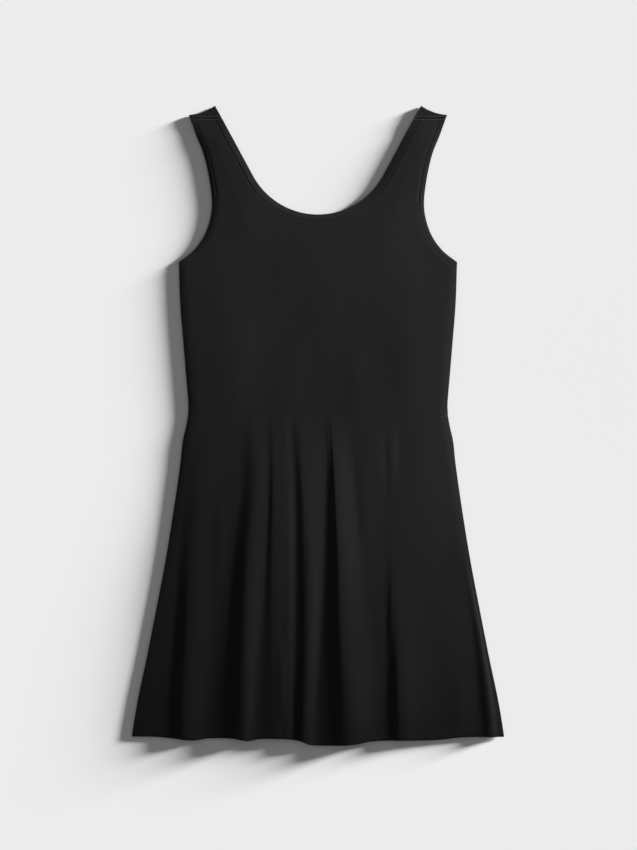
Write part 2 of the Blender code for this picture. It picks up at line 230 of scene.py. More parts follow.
def curve_value(places, values, place):
    """The value at a place on a soft curve through the values, which stand at rising places."""
    index = min(max(bisect.bisect_right(places, place) - 1, 0), len(places) - 2)
    slopes = []
    for at in (index, index + 1):
        left = max(at - 1, 0)
        right = min(at + 1, len(places) - 1)
        slopes.append((values[right] - values[left]) / (places[right] - places[left]))
    run = places[index + 1] - places[index]
    share = min(max((place - places[index]) / run, 0.0), 1.0)
    near = (1.0 + 2.0 * share) * (1.0 - share) ** 2 * values[index]
    far = share**2 * (3.0 - 2.0 * share) * values[index + 1]
    bend = share * (1.0 - share) ** 2 * slopes[0] - share**2 * (1.0 - share) * slopes[1]
    return near + far + bend * run


def table_value(rows, place):
    return curve_value([row.place for row in rows], [row.value for row in rows], place)


def rounded_curve(corners):
    """Points on a smooth curve through the corners."""
    padded = [corners[0] * 2 - corners[1], *corners, corners[-1] * 2 - corners[-2]]
    points = []
    for before, start, end, after in zip(padded, padded[1:], padded[2:], padded[3:]):
        for step in range(CURVE_STEPS):
            t = step / CURVE_STEPS
            line = 2 * start + (end - before) * t
            bend = (2 * before - 5 * start + 4 * end - after) * t**2
            twist = (3 * start - before - 3 * end + after) * t**3
            points.append((line + bend + twist) * 0.5)
    return [*points, corners[-1]]


def resampled(points, count):
    """The same line with its points spread evenly, count spaces in all."""
    lengths = [0.0]
    for start, end in zip(points, points[1:]):
        lengths.append(lengths[-1] + (end - start).length)
    spread = []
    for step in range(count + 1):
        reach = lengths[-1] * step / count
        index = min(max(bisect.bisect_left(lengths, reach) - 1, 0), len(points) - 2)
        share = (reach - lengths[index]) / (lengths[index + 1] - lengths[index])
        spread.append(points[index].lerp(points[index + 1], share))
    return spread


def cut_at_height(points, height):
    """The line up to where it first rises past a height."""
    kept = [points[0]]
    for start, end in zip(points, points[1:]):
        if end.y >= height:
            kept.append(start.lerp(end, (height - start.y) / (end.y - start.y)))
            return kept
        kept.append(end)
    return kept


def moved_in(line, width, turn, first, last):
    """A line moved sideways into the cloth. Its two ends move along the seams that cross them."""
    moved = []
    for index, point in enumerate(line):
        run = (line[min(index + 1, len(line) - 1)] - line[max(index - 1, 0)]).normalized()
        inward = Vector((run.y, -run.x)) * turn
        way = inward
        if index == 0:
            way = first
        if index == len(line) - 1:
            way = last
        moved.append(point + way * width / way.dot(inward))
    return moved


def neckline(drop=0.0):
    """Half of the scoop from its lowest point: a round arc, then a straight run up the strap."""
    centre = Vector((0.0, NECK_HEIGHT - drop + NECK_RADIUS))
    points = []
    for step in range(NECK_ARC_STEPS + 1):
        angle = NECK_TURN * step / NECK_ARC_STEPS
        points.append(centre + Vector((math.sin(angle), -math.cos(angle))) * NECK_RADIUS)
    return [*points, Vector(STRAP_INNER_TOP)]


def armhole():
    return rounded_curve([Vector(row) for row in ARMHOLE])


def bodice_side():
    heights = [between(WAIST_HEIGHT, UNDERARM_HEIGHT, step / EDGE_STEPS) for step in range(EDGE_STEPS + 1)]
    return [Vector((table_value(BODICE_SIDE, height), height)) for height in heights]


outline = [
    numpy.array(resampled(neckline(), EDGE_STEPS)),
    numpy.array(resampled(armhole(), EDGE_STEPS)),
    numpy.array(resampled(bodice_side(), EDGE_STEPS // 4)),
]
print("half neckline in mm:", round(sum((b - a).length for a, b in zip(neckline(), neckline()[1:])), 1))


def edge_distance(x, height):
    """How far a place on the bodice lies inside its outline."""
    point = numpy.array((abs(x), height))
    nearest = math.inf
    for line in outline:
        runs = line[1:] - line[:-1]
        shares = ((point - line[:-1]) * runs).sum(axis=1) / (runs * runs).sum(axis=1)
        feet = line[:-1] + runs * numpy.clip(shares, 0.0, 1.0)[:, None]
        nearest = min(nearest, numpy.sqrt(((feet - point) ** 2).sum(axis=1)).min())
    return float(nearest)


# %% [markdown]
# ## Where the skirt folds run
# A flared skirt that is laid down falls into a few long folds. Each fold is a crest with a trough on
# either side, and each of these lines wanders a little on its way down. The tables give every line's
# place across the skirt at six heights, and how high it stands there. Between two lines the cloth runs
# in a soft step, so crests and troughs come out round. The back skirt lies under the front and takes
# the same main folds, lower.

# %% Fold lines
STATIONS = (0.0, 60.0, 150.0, 250.0, 350.0, 432.5)
Line = namedtuple("Line", "places rises")

FRONT_LINES = table(
    Line,
    ((-230.0, -222.0, -208.0, -194.0, -180.0, -166.0), (0.0, 0.0, 0.0, 0.0, 0.0, 0.0)),
    ((-194.0, -193.0, -186.0, -182.5, -174.0, -161.0), (0.0, 0.0, 0.0, 0.0, 0.0, 0.0)),
    ((-175.5, -175.0, -170.5, -166.0, -157.0, -151.0), (3.3, 4.2, 3.6, 2.4, 0.8, 0.0)),
    ((-143.0, -141.0, -134.0, -130.0, -128.0, -126.0), (0.2, 0.2, 0.2, 0.1, 0.0, 0.0)),
    ((-125.0, -124.0, -117.0, -111.0, -102.0, -104.0), (1.1, 1.4, 1.0, 0.5, 0.2, 0.0)),
    ((-99.0, -97.0, -94.5, -90.5, -82.0, -84.0), (5.6, 7.4, 6.4, 5.0, 3.0, 0.5)),
    ((-82.0, -81.5, -75.5, -68.5, -65.0, -68.0), (2.5, 3.3, 2.9, 2.6, 1.6, 0.3)),
    ((-55.0, -58.0, -58.0, -59.0, -57.5, -58.0), (4.3, 5.9, 5.8, 5.0, 3.2, 0.5)),
    ((-43.0, -42.0, -41.0, -40.0, -42.0, -44.0), (3.4, 4.7, 4.8, 4.3, 2.7, 0.4)),
    ((-31.0, -29.0, -28.0, -28.0, -30.0, -36.0), (0.8, 1.3, 1.3, 1.3, 0.7, 0.0)),
    ((-19.0, -17.0, -13.0, -15.5, -20.0, -26.0), (3.6, 4.8, 4.5, 4.3, 3.0, 0.4)),
    ((-3.0, -1.0, 4.0, 11.5, 12.0, 8.0), (1.2, 1.4, 0.8, 0.6, 0.5, 0.0)),
    ((12.0, 14.0, 15.0, 18.0, 17.0, 13.0), (2.0, 2.2, 1.6, 1.9, 1.4, 0.2)),
    ((38.0, 37.0, 30.5, 27.0, 22.0, 18.0), (5.7, 7.4, 6.4, 5.3, 3.3, 0.4)),
    ((88.0, 86.0, 78.0, 62.0, 50.0, 45.0), (0.1, 0.2, 0.7, 0.9, 0.5, 0.0)),
    ((97.5, 96.5, 92.0, 89.0, 88.5, 88.0), (0.1, 0.2, 0.2, 0.1, 0.0, 0.0)),
    ((106.5, 105.0, 103.5, 98.0, 97.0, 96.0), (2.7, 3.4, 2.3, 0.6, 0.0, 0.0)),
    ((163.0, 160.0, 152.0, 140.0, 130.0, 125.0), (0.2, 0.2, 0.1, 0.0, 0.0, 0.0)),
    ((217.0, 211.0, 203.5, 185.0, 165.0, 150.0), (0.2, 0.2, 0.1, 0.0, 0.0, 0.0)),
    ((229.0, 224.5, 211.5, 191.5, 172.0, 157.0), (2.2, 2.8, 1.4, 0.1, 0.0, 0.0)),
    ((239.0, 232.0, 215.0, 195.5, 178.5, 164.0), (0.3, 0.3, 0.2, 0.0, 0.0, 0.0)),
)

BACK_LINES = table(
    Line,
    ((-230.0, -222.0, -208.0, -194.0, -180.0, -166.0), (0.0, 0.0, 0.0, 0.0, 0.0, 0.0)),
    ((-198.0, -196.0, -189.0, -184.0, -174.0, -161.0), (0.0, 0.0, 0.0, 0.0, 0.0, 0.0)),
    ((-175.5, -175.0, -170.5, -166.0, -157.0, -151.0), (1.2, 1.6, 1.3, 0.9, 0.2, 0.0)),
    ((-150.0, -148.0, -140.0, -130.0, -126.0, -128.0), (0.0, 0.0, 0.0, 0.0, 0.0, 0.0)),
    ((-130.0, -128.0, -120.0, -112.0, -102.0, -104.0), (0.0, 0.0, 0.0, 0.0, 0.0, 0.0)),
    ((-99.0, -97.0, -94.5, -90.5, -82.0, -84.0), (2.0, 2.5, 2.1, 1.6, 0.8, 0.0)),
    ((-70.0, -70.0, -66.0, -62.0, -62.0, -66.0), (0.0, 0.0, 0.0, 0.0, 0.0, 0.0)),
    ((-44.0, -42.0, -40.0, -40.0, -42.0, -46.0), (0.0, 0.0, 0.0, 0.0, 0.0, 0.0)),
    ((-19.0, -17.0, -13.0, -15.5, -20.0, -26.0), (1.5, 2.0, 1.8, 1.4, 0.6, 0.0)),
    ((2.0, 2.0, 6.0, 10.0, 8.0, 4.0), (0.0, 0.0, 0.0, 0.0, 0.0, 0.0)),
    ((38.0, 37.0, 30.5, 27.0, 22.0, 18.0), (2.0, 2.5, 2.1, 1.6, 0.8, 0.0)),
    ((72.0, 72.0, 68.0, 60.0, 50.0, 45.0), (0.0, 0.0, 0.0, 0.0, 0.0, 0.0)),
    ((90.0, 90.0, 86.0, 82.0, 80.0, 80.0), (0.0, 0.0, 0.0, 0.0, 0.0, 0.0)),
    ((110.0, 108.0, 103.5, 98.0, 97.0, 96.0), (1.5, 2.0, 1.3, 0.3, 0.0, 0.0)),
    ((136.0, 134.0, 130.0, 126.0, 122.0, 120.0), (0.0, 0.0, 0.0, 0.0, 0.0, 0.0)),
    ((211.0, 206.0, 200.0, 185.0, 165.0, 150.0), (0.0, 0.0, 0.0, 0.0, 0.0, 0.0)),
    ((227.0, 222.0, 210.0, 191.5, 172.0, 157.0), (1.0, 1.1, 0.6, 0.0, 0.0, 0.0)),
    ((239.0, 232.0, 215.0, 195.5, 178.5, 164.0), (0.0, 0.0, 0.0, 0.0, 0.0, 0.0)),
)

# Short ripples: where the middle is at the ripple's own middle height, and how far it leans
# to the side for every millimetre up
SKIRT_RIPPLES = table(
    Ripple,
    (-130.0, 0.04, 9.0, 1.2, 190.0, 340.0),
    (-48.0, 0.0, 6.0, 1.7, 30.0, 140.0),
    (-8.0, 0.0, 5.0, 0.7, 170.0, 290.0),
    (62.0, 0.0, 10.0, 1.4, 255.0, 425.0),
    (76.5, 0.0, 8.0, 1.3, 290.0, 430.0),
    (97.0, 0.0, 11.0, 1.0, 330.0, 430.0),
    (95.5, 0.02, 4.5, 1.0, 105.0, 225.0),
    (186.0, 0.0, 16.0, 0.8, 0.0, 110.0),
)
BODICE_DRAPES = table(
    Ripple,
    (-108.0, 0.05, 34.0, 1.0, 380.0, 600.0),
    (-36.0, 0.1, 30.0, 0.9, 390.0, 560.0),
    (48.0, 0.0, 22.0, 0.8, 400.0, 540.0),
    (118.0, -0.06, 36.0, 0.8, 400.0, 590.0),
)
print("fold lines:", len(FRONT_LINES), "in front,", len(BACK_LINES), "behind")

# %% [markdown]
# ## How high the cloth lies
# The back rests on the table. The front rests on the back, a cloth's thickness higher, and swells a
# little from its edges to its middle. Folds, ripples and drapes come on top. Near the shoulder seams
# the front comes down to meet the back straps, which fold over the top.


# %% Heights of the front and the back
def bumps(rows, x, height):
    """Low rounded ridges that fade at both ends."""
    total = 0.0
    for row in rows:
        along = (height - row.lowest) / (row.highest - row.lowest)
        if not 0.0 < along < 1.0:
            continue
        middle = row.middle + row.lean * (height - (row.lowest + row.highest) / 2)
        across = abs(x - middle) / row.half_width
        if across < 1.0:
            total += row.rise * smooth(1.0 - across) * math.sin(math.pi * along)
    return total


SIDE_COLUMNS = (0.02, 0.08)


class Folds:
    """The fold lines of one skirt panel, kept in a list of places and rises for each height."""

    def __init__(self, lines):
        self.lines = lines
        self.known = {}

    def at(self, height):
        key = round(height, 3)
        if key not in self.known:
            side = table_value(SKIRT_SIDE, height)
            inner = [curve_value(STATIONS, line.places, height) for line in self.lines]
            rises = [max(curve_value(STATIONS, line.rises, height), 0.0) for line in self.lines]
            self.known[key] = ([-side, *inner, side], [0.0, *rises, 0.0])
        return self.known[key]

    def rise(self, x, height):
        places, rises = self.at(height)
        index = min(max(bisect.bisect_right(places, x) - 1, 0), len(places) - 2)
        share = (x - places[index]) / (places[index + 1] - places[index])
        return between(rises[index], rises[index + 1], smooth(share))

    def columns(self, step, fewest):
        """Where columns of cloth run: whole numbers on the fold lines, shares of a space between them."""
        places, _ = self.at(0.0)
        shares = []
        for index, (left, right) in enumerate(zip(places, places[1:])):
            count = max(fewest, round((right - left) / step))
            shares += [index + number / count for number in range(count)]
        last = len(places) - 1
        return [0.0, *SIDE_COLUMNS, *shares[1:], *(last - share for share in reversed(SIDE_COLUMNS)), last]

    def place(self, share, height):
        places, _ = self.at(height)
        index = min(int(share), len(places) - 2)
        return between(places[index], places[index + 1], share - index)


front_folds = Folds(FRONT_LINES)
back_folds = Folds(BACK_LINES)


def lift(inside):
    """How far the front lies above the back, by the distance inside the outline."""
    roll = 1.0 - (1.0 - min(inside / EDGE_ROLL_REACH, 1.0)) ** 2
    return EDGE_ROLL * roll + CROWN * smooth(inside / CROWN_REACH)


def back_height(x, height):
    """Middle of the back's wall above the table."""
    if height >= WAIST_HEIGHT:
        return CLOTH / 2
    return CLOTH / 2 + back_folds.rise(x, height)


def front_height(x, height):
    """Middle of the front's wall above the table."""
    stacked = back_height(x, height) + CLOTH + STACK_GAP
    ripples = bumps(BODICE_DRAPES, x, height)
    if height < WAIST_HEIGHT:
        inside = table_value(SKIRT_SIDE, height) - abs(x)
        flat = 1.0 - HEM_CROWN_LOSS * smooth((WAIST_HEIGHT - height) / WAIST_HEIGHT)
        ripples += bumps(SKIRT_RIPPLES, x, height)
        return stacked + lift(inside) * flat + ripples + front_folds.rise(x, height)
    inside = edge_distance(x, height)
    near_seam = smooth((height - SHOULDER_SEAM_HEIGHT) / STRAP_LIFT_REACH + 1.0)
    strap_end = CLOTH / 2 + 2 * STRAP_FOLD_RADIUS
    return between(stacked + lift(inside) + ripples, strap_end, near_seam)


highest = max(front_height(x, 20.0) for x in range(-240, 241, 2))
print("highest fold near the hem in mm:", round(highest, 1))

# %% [markdown]
# ## Knit fabric
# Up close the dress is a fine jersey: rows of small V-shaped loops, less than a millimetre wide, that
# stand in columns. A picture of knit could be wrapped on the cloth, but nodes can draw it at any size
# without a file. Each panel carries a UV map that is measured in metres along the cloth, so the loops
# keep their size and follow the folds. The black is uneven in a real dyed knit, and the fibre catches a
# little light at a low angle, so the colour varies softly and the shader has some sheen.


# %% Knit material
class Wiring:
    """Short ways to add and join shader nodes."""

    def __init__(self, material):
        self.nodes = material.node_tree.nodes
        self.links = material.node_tree.links
        self.shader = self.nodes["Principled BSDF"]

    def feed(self, socket, value):
        if isinstance(value, bpy.types.NodeSocket):
            self.links.new(value, socket)
        else:
            socket.default_value = value

    def maths(self, operation, first, second=0.0, third=None):
        node = self.nodes.new("ShaderNodeMath")
        node.operation = operation
        self.feed(node.inputs[0], first)
        self.feed(node.inputs[1], second)
        if third is not None:
            self.feed(node.inputs[2], third)
        return node.outputs[0]

    def spread(self, value, low, high, to_low, to_high):
        node = self.nodes.new("ShaderNodeMapRange")
        for socket, given in zip(node.inputs, (value, low, high, to_low, to_high)):
            self.feed(socket, given)
        return node.outputs[0]

    def noise(self, where, scale, detail, stretch=(1.0, 1.0, 1.0)):
        shift = self.nodes.new("ShaderNodeMapping")
        shift.inputs["Scale"].default_value = stretch
        self.links.new(where, shift.inputs["Vector"])
        node = self.nodes.new("ShaderNodeTexNoise")
        node.inputs["Scale"].default_value = scale
        node.inputs["Detail"].default_value = detail
        self.links.new(shift.outputs[0], node.inputs["Vector"])
        return node.outputs["Fac"]

    def blended(self, share, first, second):
        node = self.nodes.new("ShaderNodeMix")
        node.data_type = "RGBA"
        self.feed(node.inputs["Factor"], share)
        self.feed(node.inputs["A"], first)
        self.feed(node.inputs["B"], second)
        return node.outputs["Result"]


def finish_material(name):
    material = bpy.data.materials.new(name)
    material.use_nodes = True
    return material, Wiring(material)


LOOP_WIDTH = 0.9
LOOP_HEIGHT = 0.7
LOOP_DEPTH = 0.08
LOOP_SLANT = 0.7
KNIT_SHINE = 0.06
KNIT_SHEEN = 0.12


def knit_material(name, dark, light):
    """Black jersey: V-shaped loops in columns, painted shade between them, soft uneven dye, dull, a little
    sheen.
    """
    material, wiring = finish_material(name)
    cloth = wiring.nodes.new("ShaderNodeUVMap")
    cloth.uv_map = "cloth"
    split = wiring.nodes.new("ShaderNodeSeparateXYZ")
    wiring.links.new(cloth.outputs["UV"], split.inputs[0])
    across = wiring.maths("MULTIPLY", split.outputs["X"], 1.0 / (LOOP_WIDTH * MM))
    down = wiring.maths("MULTIPLY", split.outputs["Y"], 1.0 / (LOOP_HEIGHT * MM))
    in_column = wiring.maths("SUBTRACT", wiring.maths("FRACT", across), 0.5)
    leg = wiring.maths("MULTIPLY", wiring.maths("ABSOLUTE", in_column), 2.0)
    slant = wiring.maths("FRACT", wiring.maths("ADD", down, wiring.maths("MULTIPLY", leg, LOOP_SLANT)))
    round_leg = wiring.maths("SINE", wiring.maths("MULTIPLY", leg, math.pi))
    round_row = wiring.maths("SINE", wiring.maths("MULTIPLY", slant, math.pi))
    loop = wiring.maths("MULTIPLY", round_leg, wiring.maths("POWER", round_row, 0.5))
    place = wiring.nodes.new("ShaderNodeTexCoord").outputs["Object"]
    dye = wiring.noise(place, 9.0, 3.0, (1.0, 0.4, 1.0))
    fuzz = wiring.noise(place, 900.0, 2.0)
    shade = wiring.spread(dye, 0.35, 0.65, 0.15, 0.75)
    # Painted shade: the colour is darker in the gaps between the knit loops and lighter on their tops.
    shade = wiring.maths("ADD", shade, wiring.spread(loop, 0.0, 1.0, -0.05, 0.08))
    shade = wiring.maths("ADD", shade, wiring.spread(fuzz, 0.3, 0.7, -0.1, 0.1))
    colour = wiring.blended(shade, dark, light)
    wiring.links.new(colour, wiring.shader.inputs["Base Color"])
    rough = wiring.spread(loop, 0.0, 1.0, 0.92, 0.78)
    wiring.links.new(rough, wiring.shader.inputs["Roughness"])
    bump = wiring.nodes.new("ShaderNodeBump")
    bump.inputs["Strength"].default_value = 1.0
    bump.inputs["Distance"].default_value = LOOP_DEPTH * MM
    wiring.links.new(wiring.maths("ADD", loop, wiring.maths("MULTIPLY", fuzz, 0.3)), bump.inputs["Height"])
    wiring.links.new(bump.outputs[0], wiring.shader.inputs["Normal"])
    wiring.shader.inputs["Specular IOR Level"].default_value = KNIT_SHINE
    wiring.shader.inputs["Sheen Weight"].default_value = KNIT_SHEEN
    wiring.shader.inputs["Sheen Roughness"].default_value = 0.5
    return material


def thread_material(name, colour):
    """Twisted sewing thread: a little smoother than the knit."""
    material, wiring = finish_material(name)
    place = wiring.nodes.new("ShaderNodeTexCoord").outputs["Object"]
    twist = wiring.noise(place, 2200.0, 1.0)
    darker = (*(part * 0.6 for part in colour[:3]), 1.0)
    wiring.links.new(wiring.blended(twist, darker, colour), wiring.shader.inputs["Base Color"])
    wiring.links.new(wiring.spread(twist, 0.3, 0.7, 0.6, 0.8), wiring.shader.inputs["Roughness"])
    wiring.shader.inputs["Specular IOR Level"].default_value = 0.1
    return material


jersey = knit_material("black jersey", (0.0075, 0.0075, 0.0080, 1), (0.0125, 0.0125, 0.0130, 1))
banding = knit_material("black band knit", (0.0072, 0.0072, 0.0077, 1), (0.0122, 0.0122, 0.0127, 1))
thread = thread_material("black thread", (0.010, 0.010, 0.0105, 1.0))
shoulder_thread = thread_material("grey-black shoulder thread", (0.15, 0.15, 0.152, 1.0))
print("loops in 10 mm of knit:", round(10 / LOOP_WIDTH), "across")

# %% [markdown]
# ## A sheet of cloth from a grid
# Every panel starts as a grid primitive. Its points are placed on the pattern's rows, two mirrored
# halves are joined where they meet, and the seam between them is merged. Solidify then gives the sheet
# a wall of 1.2 mm about its middle, and one level of subdivision rounds its cut edges.

# %% Sheet helpers
MERGE_DISTANCE = 0.01
SORT_DIGITS = 5


def laid_grid(rows, cloth):
    """A grid primitive with its points on the rows of x, height and z, and a UV map on the cloth."""
    columns = len(rows[0])
    start_fresh()
    bpy.ops.mesh.primitive_grid_add(
        x_subdivisions=columns - 1, y_subdivisions=len(rows) - 1, size=1.0, location=(0.0, 0.0, 0.0)
    )
    sheet = bpy.context.object
    points = sheet.data.vertices
    order = sorted(
        range(len(points)),
        key=lambda index: (round(points[index].co.y, SORT_DIGITS), round(points[index].co.x, SORT_DIGITS)),
    )
    spots = [None] * len(points)
    for number, index in enumerate(order):
        x, height, z = rows[number // columns][number % columns]
        points[index].co = Vector((x, height - LENGTH / 2, z)) * MM
        u, v = cloth[number // columns][number % columns]
        spots[index] = (u * MM, v * MM)
    for layer in list(sheet.data.uv_layers):
        sheet.data.uv_layers.remove(layer)
    layer = sheet.data.uv_layers.new(name="cloth")
    for loop in sheet.data.loops:
        layer.data[loop.index].uv = spots[loop.vertex_index]
    return sheet


def area_of(rows):
    """Area of a grid of points in square metres."""
    total = 0.0
    for low, high in zip(rows, rows[1:]):
        for a, b, c, d in zip(low, low[1:], high, high[1:]):
            cross = (Vector(d) - Vector(a)).cross(Vector(b) - Vector(c))
            total += cross.length / 2
    return total * MM * MM


def sewn_sheet(name, grids, material, slot):
    """A named panel or band: grids joined, given a wall, rounded, and put in the place of its CAD node."""
    halves = [laid_grid(rows, cloth) for rows, cloth in grids]
    start_fresh()
    for half in halves:
        half.select_set(True)
    bpy.context.view_layer.objects.active = halves[0]
    if len(halves) > 1:
        bpy.ops.object.join()
    piece = bpy.context.object
    piece.name = name
    piece.data.name = name
    bpy.ops.object.mode_set(mode="EDIT")
    bpy.ops.mesh.select_all(action="SELECT")
    bpy.ops.mesh.remove_doubles(threshold=MERGE_DISTANCE * MM)
    bpy.ops.mesh.normals_make_consistent(inside=False)
    bpy.ops.object.mode_set(mode="OBJECT")
    wall = piece.modifiers.new("wall of cloth", "SOLIDIFY")
    wall.thickness = CLOTH * MM
    wall.offset = 0.0
    bpy.ops.object.modifier_apply(modifier=wall.name)
    rounding = piece.modifiers.new("rounded edges", "SUBSURF")
    rounding.levels = 1
    rounding.render_levels = 1
    bpy.ops.object.modifier_apply(modifier=rounding.name)
    bpy.ops.object.shade_smooth()
    piece.data.materials.clear()
    piece.data.materials.append(material)
    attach(piece, "root")
    area = sum(area_of(rows) for rows, cloth in grids)
    print(f"{name}: {len(piece.data.polygons)} faces, {area:.4f} square metres of cloth")
    return piece, area


# %% [markdown]
# ## Rows of the bodice and its bands
# A bodice panel is drawn as rows from its centre to its side, then, above the lowest point of the neck,
# from the neck edge to the armhole. The bands are drawn the same way along the two edges. The back
# pieces carry on over the tops of the straps and run down the front to the shoulder seams, as they do
# on the dress, where the seam lies a little in front of the fold. The top edge of each strap sags a
# little between its corners, because the soft cloth isn't held there.


# %% Strap tops and rows
STRAP_FOLD_STEPS = 10
STRAP_RUN_STEPS = 3
SEAM_ROWS = (0.25, 0.9)
PANEL_COLUMNS = 34
PANEL_ROWS = 38
STRAP_ROWS = 44
NECK_BAND_COLUMNS = 5
ARM_BAND_COLUMNS = 4


def near(end, start, distance):
    """The point a distance short of the end of a line."""
    return end.lerp(start, distance / (start - end).length)


def crisp(line):
    """The line with extra points close to both ends, so that rounding leaves the cut ends sharp."""
    first = [near(line[0], line[1], row) for row in SEAM_ROWS]
    last = [near(line[-1], line[-2], row) for row in reversed(SEAM_ROWS)]
    return [line[0], *first, *line[1:-1], *last, line[-1]]


class StrapTop:
    """The fold over the top of a back strap and its run down the front to the shoulder seam."""

    def __init__(self):
        inner = Vector(STRAP_INNER_TOP)
        outer = Vector(STRAP_OUTER_TOP)
        self.along = (outer - inner).normalized()
        self.up = Vector((-self.along.y, self.along.x))
        inset = self.up * (STRAP_FOLD_RADIUS + CLOTH / 2)
        self.inner = inner - inset
        self.outer = outer - inset
        seam = SHOULDER_SEAM_HEIGHT + SHOULDER_GAP / 2
        self.seam_inner = cut_at_height(neckline(), seam)[-1]
        self.seam_outer = cut_at_height(armhole(), seam)[-1]

    def share(self, point):
        """Where a point of the fold lies across the strap, 0 at the neck and 1 at the armhole."""
        return (point - self.inner).dot(self.along) / (self.outer - self.inner).length

    def rows(self, last_row):
        """Rows of points, as x, height and z, that carry a back piece on over the top."""
        rows = []
        middle = CLOTH / 2
        for step in range(1, STRAP_FOLD_STEPS + 1):
            angle = math.pi * step / STRAP_FOLD_STEPS
            reach = self.up * (STRAP_FOLD_RADIUS * math.sin(angle))
            z = middle + STRAP_FOLD_RADIUS * (1.0 - math.cos(angle))
            rows.append([(*(point + reach), z) for point in last_row])
        top = middle + 2 * STRAP_FOLD_RADIUS
        seams = [self.seam_inner.lerp(self.seam_outer, self.share(point)) for point in last_row]
        for step in range(1, STRAP_RUN_STEPS):
            rows.append([(*p.lerp(seam, step / STRAP_RUN_STEPS), top) for p, seam in zip(last_row, seams)])
        for close in (*reversed(SEAM_ROWS), 0.0):
            rows.append([(*near(seam, p, close), top) for p, seam in zip(last_row, seams)])
        return rows


strap_top = StrapTop()
STRAP_TURN = 1.0
STRAP_SAG = 2.6
SAG_START = SHOULDER_SEAM_HEIGHT + 2.2


def sagged(x, height, z):
    """A place near the top of a strap, let down a little between the strap's two corners."""
    if height <= SAG_START:
        return x, height, z
    inner = Vector(STRAP_INNER_TOP)
    outer = Vector(STRAP_OUTER_TOP)
    share = (abs(x) - inner.x) / (outer.x - inner.x)
    share = min(max(share, 0.0), 1.0)
    top = between(inner.y, outer.y, share)
    way_up = smooth((height - SAG_START) / (top - SAG_START))
    return x, height - STRAP_SAG * 4.0 * share * (1.0 - share) * way_up, z


def edge_lines(is_front):
    """The neck edge and armhole edge of one side of the dress, and the way its strap is cut across."""
    if is_front:
        seam = SHOULDER_SEAM_HEIGHT - SHOULDER_GAP / 2
        neck = cut_at_height(neckline(), seam)
        arm = cut_at_height(armhole(), seam)
        across = Vector((1.0, 0.0))
    else:
        neck = [*neckline(BACK_NECK_DROP)[:-1], strap_top.inner]
        arm = cut_at_height(armhole(), strap_top.outer.y - STRAP_TURN)[:-1] + [strap_top.outer]
        across = strap_top.along
    return resampled(neck, STRAP_ROWS), resampled(arm, STRAP_ROWS), across


def inner_lines(is_front, neck_width, arm_width):
    """The two edge lines, each moved into the cloth by a width."""
    neck, arm, across = edge_lines(is_front)
    down = Vector((0.0, -1.0))
    return (
        moved_in(neck, neck_width, 1.0, down, across),
        moved_in(arm, arm_width, -1.0, down, -across),
    )


def rows_between(lines, columns):
    """Rows of plan points from one line to the other, finer near both ends."""
    rows = []
    for start, end in zip(*lines):
        shares = [step / columns for step in range(columns + 1)]
        shares = [between(share, (1.0 - math.cos(math.pi * share)) / 2, 0.5) for share in shares]
        rows.append(crisp([start.lerp(end, share) for share in shares]))
    return rows


def run_lengths(points):
    """How far along a line each of its points lies."""
    lengths = [0.0]
    for start, end in zip(points, points[1:]):
        lengths.append(lengths[-1] + (Vector(end) - Vector(start)).length)
    return lengths


def halves(rows, is_front, follows_edge):
    """The right half and its mirror with their heights, the strap tops, and the cloth's own map."""
    height_at = front_height if is_front else back_height
    right = [[(p.x, p.y, height_at(p.x, p.y)) for p in row] for row in rows]
    left = [[(-p.x, p.y, height_at(-p.x, p.y)) for p in row] for row in rows]
    if not is_front:
        over = strap_top.rows(rows[-1])
        right += over
        left += [[(-x, h, z) for x, h, z in row] for row in over]
        right = [[sagged(*spot) for spot in row] for row in right]
        left = [[sagged(*spot) for spot in row] for row in left]
    if follows_edge:
        across = [run_lengths(row) for row in right]
        along = run_lengths([row[0] for row in right])
        cloth = [[(u, v) for u in row] for row, v in zip(across, along)]
    else:
        runs = run_lengths([row[len(row) // 2] for row in right])
        turn = runs[len(rows) - 1]
        cloth = []
        for row, run in zip(right, runs):
            over_top = max(run - turn, 0.0)
            cloth.append([(x, (rows[-1][0].y if over_top else h) + over_top) for x, h, z in row])
    mirrored = [[(-u, v) for u, v in row] for row in cloth]
    return [(right, cloth), (left, mirrored)]


def panel_rows(is_front):
    """Half of a bodice panel: rows from the centre to the side, then from the neck to the armhole."""
    neck, arm = inner_lines(is_front, NECK_BAND + SEAM_GAP, ARM_BAND + SEAM_GAP)
    waist = WAIST_HEIGHT + SEAM_GAP / 2
    centre = []
    side = []
    for step in range(PANEL_ROWS + 1):
        height = between(waist, arm[0].y, step / PANEL_ROWS)
        centre.append(Vector((0.0, between(waist, neck[0].y, step / PANEL_ROWS))))
        side.append(Vector((table_value(BODICE_SIDE, height), height)))
    arm[0].x = side[-1].x
    skipped = 1 + len(SEAM_ROWS)
    starts = crisp(centre) + crisp(neck)[skipped:]
    ends = crisp(side) + crisp(arm)[skipped:]
    return rows_between((starts, ends), PANEL_COLUMNS)


def neck_band_rows(is_front):
    neck, _, _ = edge_lines(is_front)
    inner, _ = inner_lines(is_front, NECK_BAND, ARM_BAND)
    return rows_between((crisp(neck), crisp(inner)), NECK_BAND_COLUMNS)


def arm_band_rows(is_front):
    _, arm, _ = edge_lines(is_front)
    _, inner = inner_lines(is_front, NECK_BAND, ARM_BAND)
    inner[0].x = table_value(BODICE_SIDE, inner[0].y)
    return rows_between((crisp(inner), crisp(arm)), ARM_BAND_COLUMNS)


# %% [markdown]
# ## Rows of the skirt
# The skirt's columns of cloth follow the fold lines from the waist to the hem, so no crest falls
# between two columns. The UV map measures each row along the folded cloth, which is how wide the
# panel was cut.

# %% Skirt rows
FOLD_STEP = 4.6
FEWEST_FOLD_COLUMNS = 4
SKIRT_ROWS = 60


